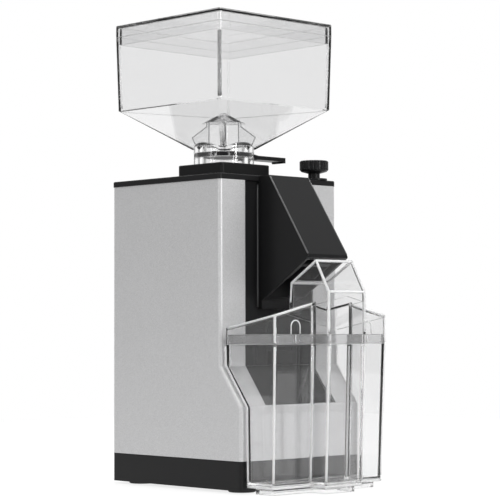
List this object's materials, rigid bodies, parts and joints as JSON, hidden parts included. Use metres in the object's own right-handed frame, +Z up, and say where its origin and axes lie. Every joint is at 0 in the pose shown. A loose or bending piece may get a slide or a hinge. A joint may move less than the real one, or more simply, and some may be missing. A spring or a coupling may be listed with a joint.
{
  "type": "burr coffee grinder",
  "caption": "Upright burr coffee grinder with a square funnel hopper on top, a slanted spout cover, a clear stepped grounds container docked in front, and a knob that lifts the lower burr.",
  "frame": {"origin": "on the table, under the middle of the grinder's box", "axes": "+Z up, -Y to the front where the container docks, +X to the right of someone facing the front"},
  "size_m": [0.1208, 0.1924, 0.35],
  "materials": {
    "silver_paint": "fine metallic satin paint",
    "dark_plastic": "satin moulded",
    "clear_plastic": "clear, polished",
    "black_rubber": "matte",
    "burr_steel": "ground",
    "bright_steel": "bright",
    "cast_aluminium": "cast",
    "motor_iron": "laminated",
    "copper_wire": "lacquered copper",
    "brass": "machined",
    "board_green": "solder mask",
    "pale_plastic": "moulded"
  },
  "bodies": {
    "housing": {"base_tray": "dark_plastic", "rubber_feet": "black_rubber", "base_screws": "bright_steel", "body_shell": "silver_paint", "front_panel": "dark_plastic", "top_cover": "dark_plastic", "hopper_block": "dark_plastic", "hopper_screw": "bright_steel", "spout_cover": "dark_plastic", "grounds_chute": "dark_plastic", "chute_flap": "black_rubber", "deck_plate": "cast_aluminium", "deck_screws": "bright_steel", "grinding_chamber": "cast_aluminium", "upper_burr_carrier": "cast_aluminium", "upper_burr": "burr_steel", "upper_burr_screws": "bright_steel", "stator_core": "motor_iron", "stator_windings": "copper_wire", "upper_motor_bracket": "cast_aluminium", "lower_motor_bracket": "cast_aluminium", "motor_pillars": "bright_steel", "lower_bearing": "bright_steel", "lever_bracket": "bright_steel", "lever_pin": "bright_steel", "dial_plate": "dark_plastic", "start_switch": "dark_plastic", "switch_housing": "dark_plastic", "timer_pot": "dark_plastic", "control_board": "board_green", "run_capacitor": "pale_plastic", "cable_gland": "dark_plastic", "hopper_bowl": "clear_plastic", "finger_guard": "clear_plastic"},
    "hopper_lid": {"hopper_lid": "clear_plastic"},
    "gate": {"gate_slide": "dark_plastic"},
    "container": {"container_tub": "clear_plastic", "container_lid": "clear_plastic"},
    "grind_knob": {"adjust_knob": "dark_plastic", "adjust_spindle": "bright_steel"},
    "grind_lever": {"adjust_lever": "bright_steel", "lever_nut": "brass"},
    "burr_carriage": {"bearing_sleeve": "cast_aluminium", "upper_bearing": "bright_steel"},
    "rotor": {"motor_shaft": "bright_steel", "rotor_core": "motor_iron", "lower_burr_carrier": "cast_aluminium", "lower_burr": "burr_steel", "lower_burr_screws": "bright_steel", "cooling_fan": "dark_plastic"},
    "start_button": {"start_button": "dark_plastic"},
    "power_rocker": {"power_rocker": "dark_plastic"},
    "timer_dial": {"timer_dial": "dark_plastic"}
  },
  "joints": [
    {"name": "lid_lift", "type": "slide", "parent": "housing", "child": "hopper_lid", "axis": [0, 0, 1], "range_m": [0, 0.06]},
    {"name": "gate_pull", "type": "slide", "parent": "housing", "child": "gate", "axis": [1, 0, 0], "range_m": [0, 0.036]},
    {"name": "container_slide", "type": "slide", "parent": "housing", "child": "container", "axis": [0, -1, 0], "range_m": [0, 0.16]},
    {"name": "grind_turn", "type": "hinge", "parent": "housing", "child": "grind_knob", "pos_m": [0.0465, -0.01775, 0.24], "axis": [0, 0, 1], "range_deg": [0, 331]},
    {"name": "lever_tilt", "type": "hinge", "parent": "housing", "child": "grind_lever", "pos_m": [0.0256, 0.00517, 0.16], "axis": [0.739, 0.6738, 0], "range_deg": [0, 1.5]},
    {"name": "burr_lift", "type": "slide", "parent": "housing", "child": "burr_carriage", "axis": [0, 0, 1], "range_m": [0, 0.0006]},
    {"name": "rotor_spin", "type": "hinge", "parent": "burr_carriage", "child": "rotor", "pos_m": [0, 0.03325, 0.1], "axis": [0, 0, 1], "continuous": true},
    {"name": "start_press", "type": "slide", "parent": "housing", "child": "start_button", "axis": [0, 1, 0], "range_m": [0, 0.0025], "stiffness_N_per_m": 600, "springref_m": -0.001},
    {"name": "power_rock", "type": "hinge", "parent": "housing", "child": "power_rocker", "pos_m": [0.054, 0.03825, 0.063], "axis": [0, 1, 0], "range_deg": [0, 12]},
    {"name": "timer_turn", "type": "hinge", "parent": "housing", "child": "timer_dial", "pos_m": [0.06, 0.03825, 0.1], "axis": [1, 0, 0], "range_deg": [-270, 0]}
  ],
  "couplings": [
    {"joint": "grind_turn", "follows": "burr_lift", "rad_per_m": 9599.3},
    {"joint": "lever_tilt", "follows": "burr_lift", "rad_per_m": 41.667}
  ]
}
